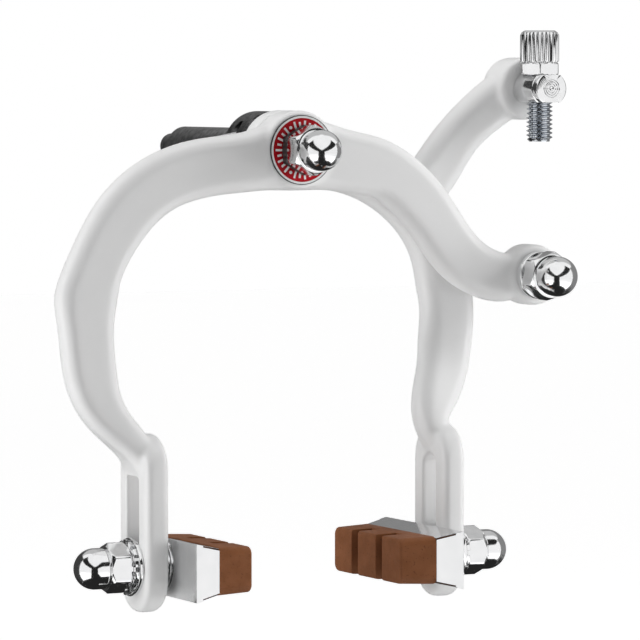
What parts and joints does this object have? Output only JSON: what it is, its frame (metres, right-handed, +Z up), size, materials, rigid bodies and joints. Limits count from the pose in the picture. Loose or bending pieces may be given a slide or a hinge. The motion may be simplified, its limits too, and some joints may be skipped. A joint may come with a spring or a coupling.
{
  "type": "side-pull caliper brake",
  "caption": "Long-reach side-pull rim brake: two curved arms on a centre bolt, wire return spring, slotted feet with adjustable rubber shoes, swivelling cable stop and cable anchor.",
  "frame": {"origin": "on the centre bolt axis, in the back face of the spring block", "axes": "+X to the right seen from the front, +Y to the rear along the mounting bolt, +Z up"},
  "size_m": [0.1257, 0.0877, 0.1297],
  "materials": {
    "white_paint": "gloss white paint",
    "chrome": "polished chrome plate",
    "dark_steel": "dark oxide",
    "grey_steel": "matt grey zinc",
    "spring_steel": "bright drawn wire",
    "red_badge": "printed red enamel",
    "brown_rubber": "moulded rubber"
  },
  "bodies": {
    "centre_bolt": {"pivot_bolt": "grey_steel", "spring_block": "dark_steel", "return_spring": "spring_steel", "rear_washer": "chrome", "middle_washer": "chrome", "badge_washer": "red_badge", "adjusting_nut": "dark_steel", "pivot_cap_nut": "chrome"},
    "front_arm": {"front_arm": "white_paint", "front_spring_peg": "chrome", "anchor_bolt": "chrome", "clamp_washer": "chrome", "anchor_cap_nut": "chrome"},
    "rear_arm": {"rear_arm": "white_paint", "rear_spring_peg": "chrome"},
    "cable_stop": {"cable_stop": "chrome", "stop_retaining_ring": "dark_steel"},
    "barrel": {"barrel_adjuster": "chrome"},
    "lock_nut": {"barrel_lock_nut": "chrome"},
    "left_clamp": {"left_shoe_cap_nut": "chrome", "left_lock_washer": "chrome", "left_flat_washer": "chrome", "left_inner_washer": "chrome"},
    "left_shoe": {"left_shoe_stud": "chrome", "left_shoe_holder": "chrome", "left_brake_block": "brown_rubber"},
    "right_clamp": {"right_shoe_cap_nut": "chrome", "right_lock_washer": "chrome", "right_flat_washer": "chrome", "right_inner_washer": "chrome"},
    "right_shoe": {"right_shoe_stud": "chrome", "right_shoe_holder": "chrome", "right_brake_block": "brown_rubber"}
  },
  "joints": [
    {"name": "front_arm_pivot", "type": "hinge", "parent": "centre_bolt", "child": "front_arm", "pos_m": [0, -0.02005, 0], "axis": [0, -1, 0], "range_deg": [0, 9], "stiffness_Nm_per_rad": 2, "springref_deg": -17.19, "deforming": ["return_spring"]},
    {"name": "rear_arm_pivot", "type": "hinge", "parent": "centre_bolt", "child": "rear_arm", "pos_m": [0, -0.0131, 0], "axis": [0, 1, 0], "range_deg": [0, 9], "stiffness_Nm_per_rad": 2, "springref_deg": -17.19, "deforming": ["return_spring"]},
    {"name": "left_shoe_height", "type": "slide", "parent": "front_arm", "child": "left_clamp", "axis": [0, 0, 1], "range_m": [-0.0015, 0.011]},
    {"name": "left_shoe_toe_in", "type": "hinge", "parent": "left_clamp", "child": "left_shoe", "pos_m": [-0.037, -0.0202, -0.0925], "axis": [1, 0, 0], "range_deg": [-15, 15]},
    {"name": "right_shoe_height", "type": "slide", "parent": "rear_arm", "child": "right_clamp", "axis": [0, 0, 1], "range_m": [-0.0015, 0.011]},
    {"name": "right_shoe_toe_in", "type": "hinge", "parent": "right_clamp", "child": "right_shoe", "pos_m": [0.037, -0.0202, -0.0925], "axis": [1, 0, 0], "range_deg": [-15, 15]},
    {"name": "cable_stop_swivel", "type": "hinge", "parent": "rear_arm", "child": "cable_stop", "pos_m": [0.0603, -0.0146, 0.0137], "axis": [0, 1, 0], "range_deg": [-20, 20]},
    {"name": "barrel_travel", "type": "slide", "parent": "cable_stop", "child": "barrel", "axis": [0, 0, 1], "range_m": [0, 0.006]},
    {"name": "lock_nut_turn", "type": "hinge", "parent": "cable_stop", "child": "lock_nut", "pos_m": [0.0603, -0.025, 0.0183], "axis": [0, 0, 1], "continuous": true}
  ]
}
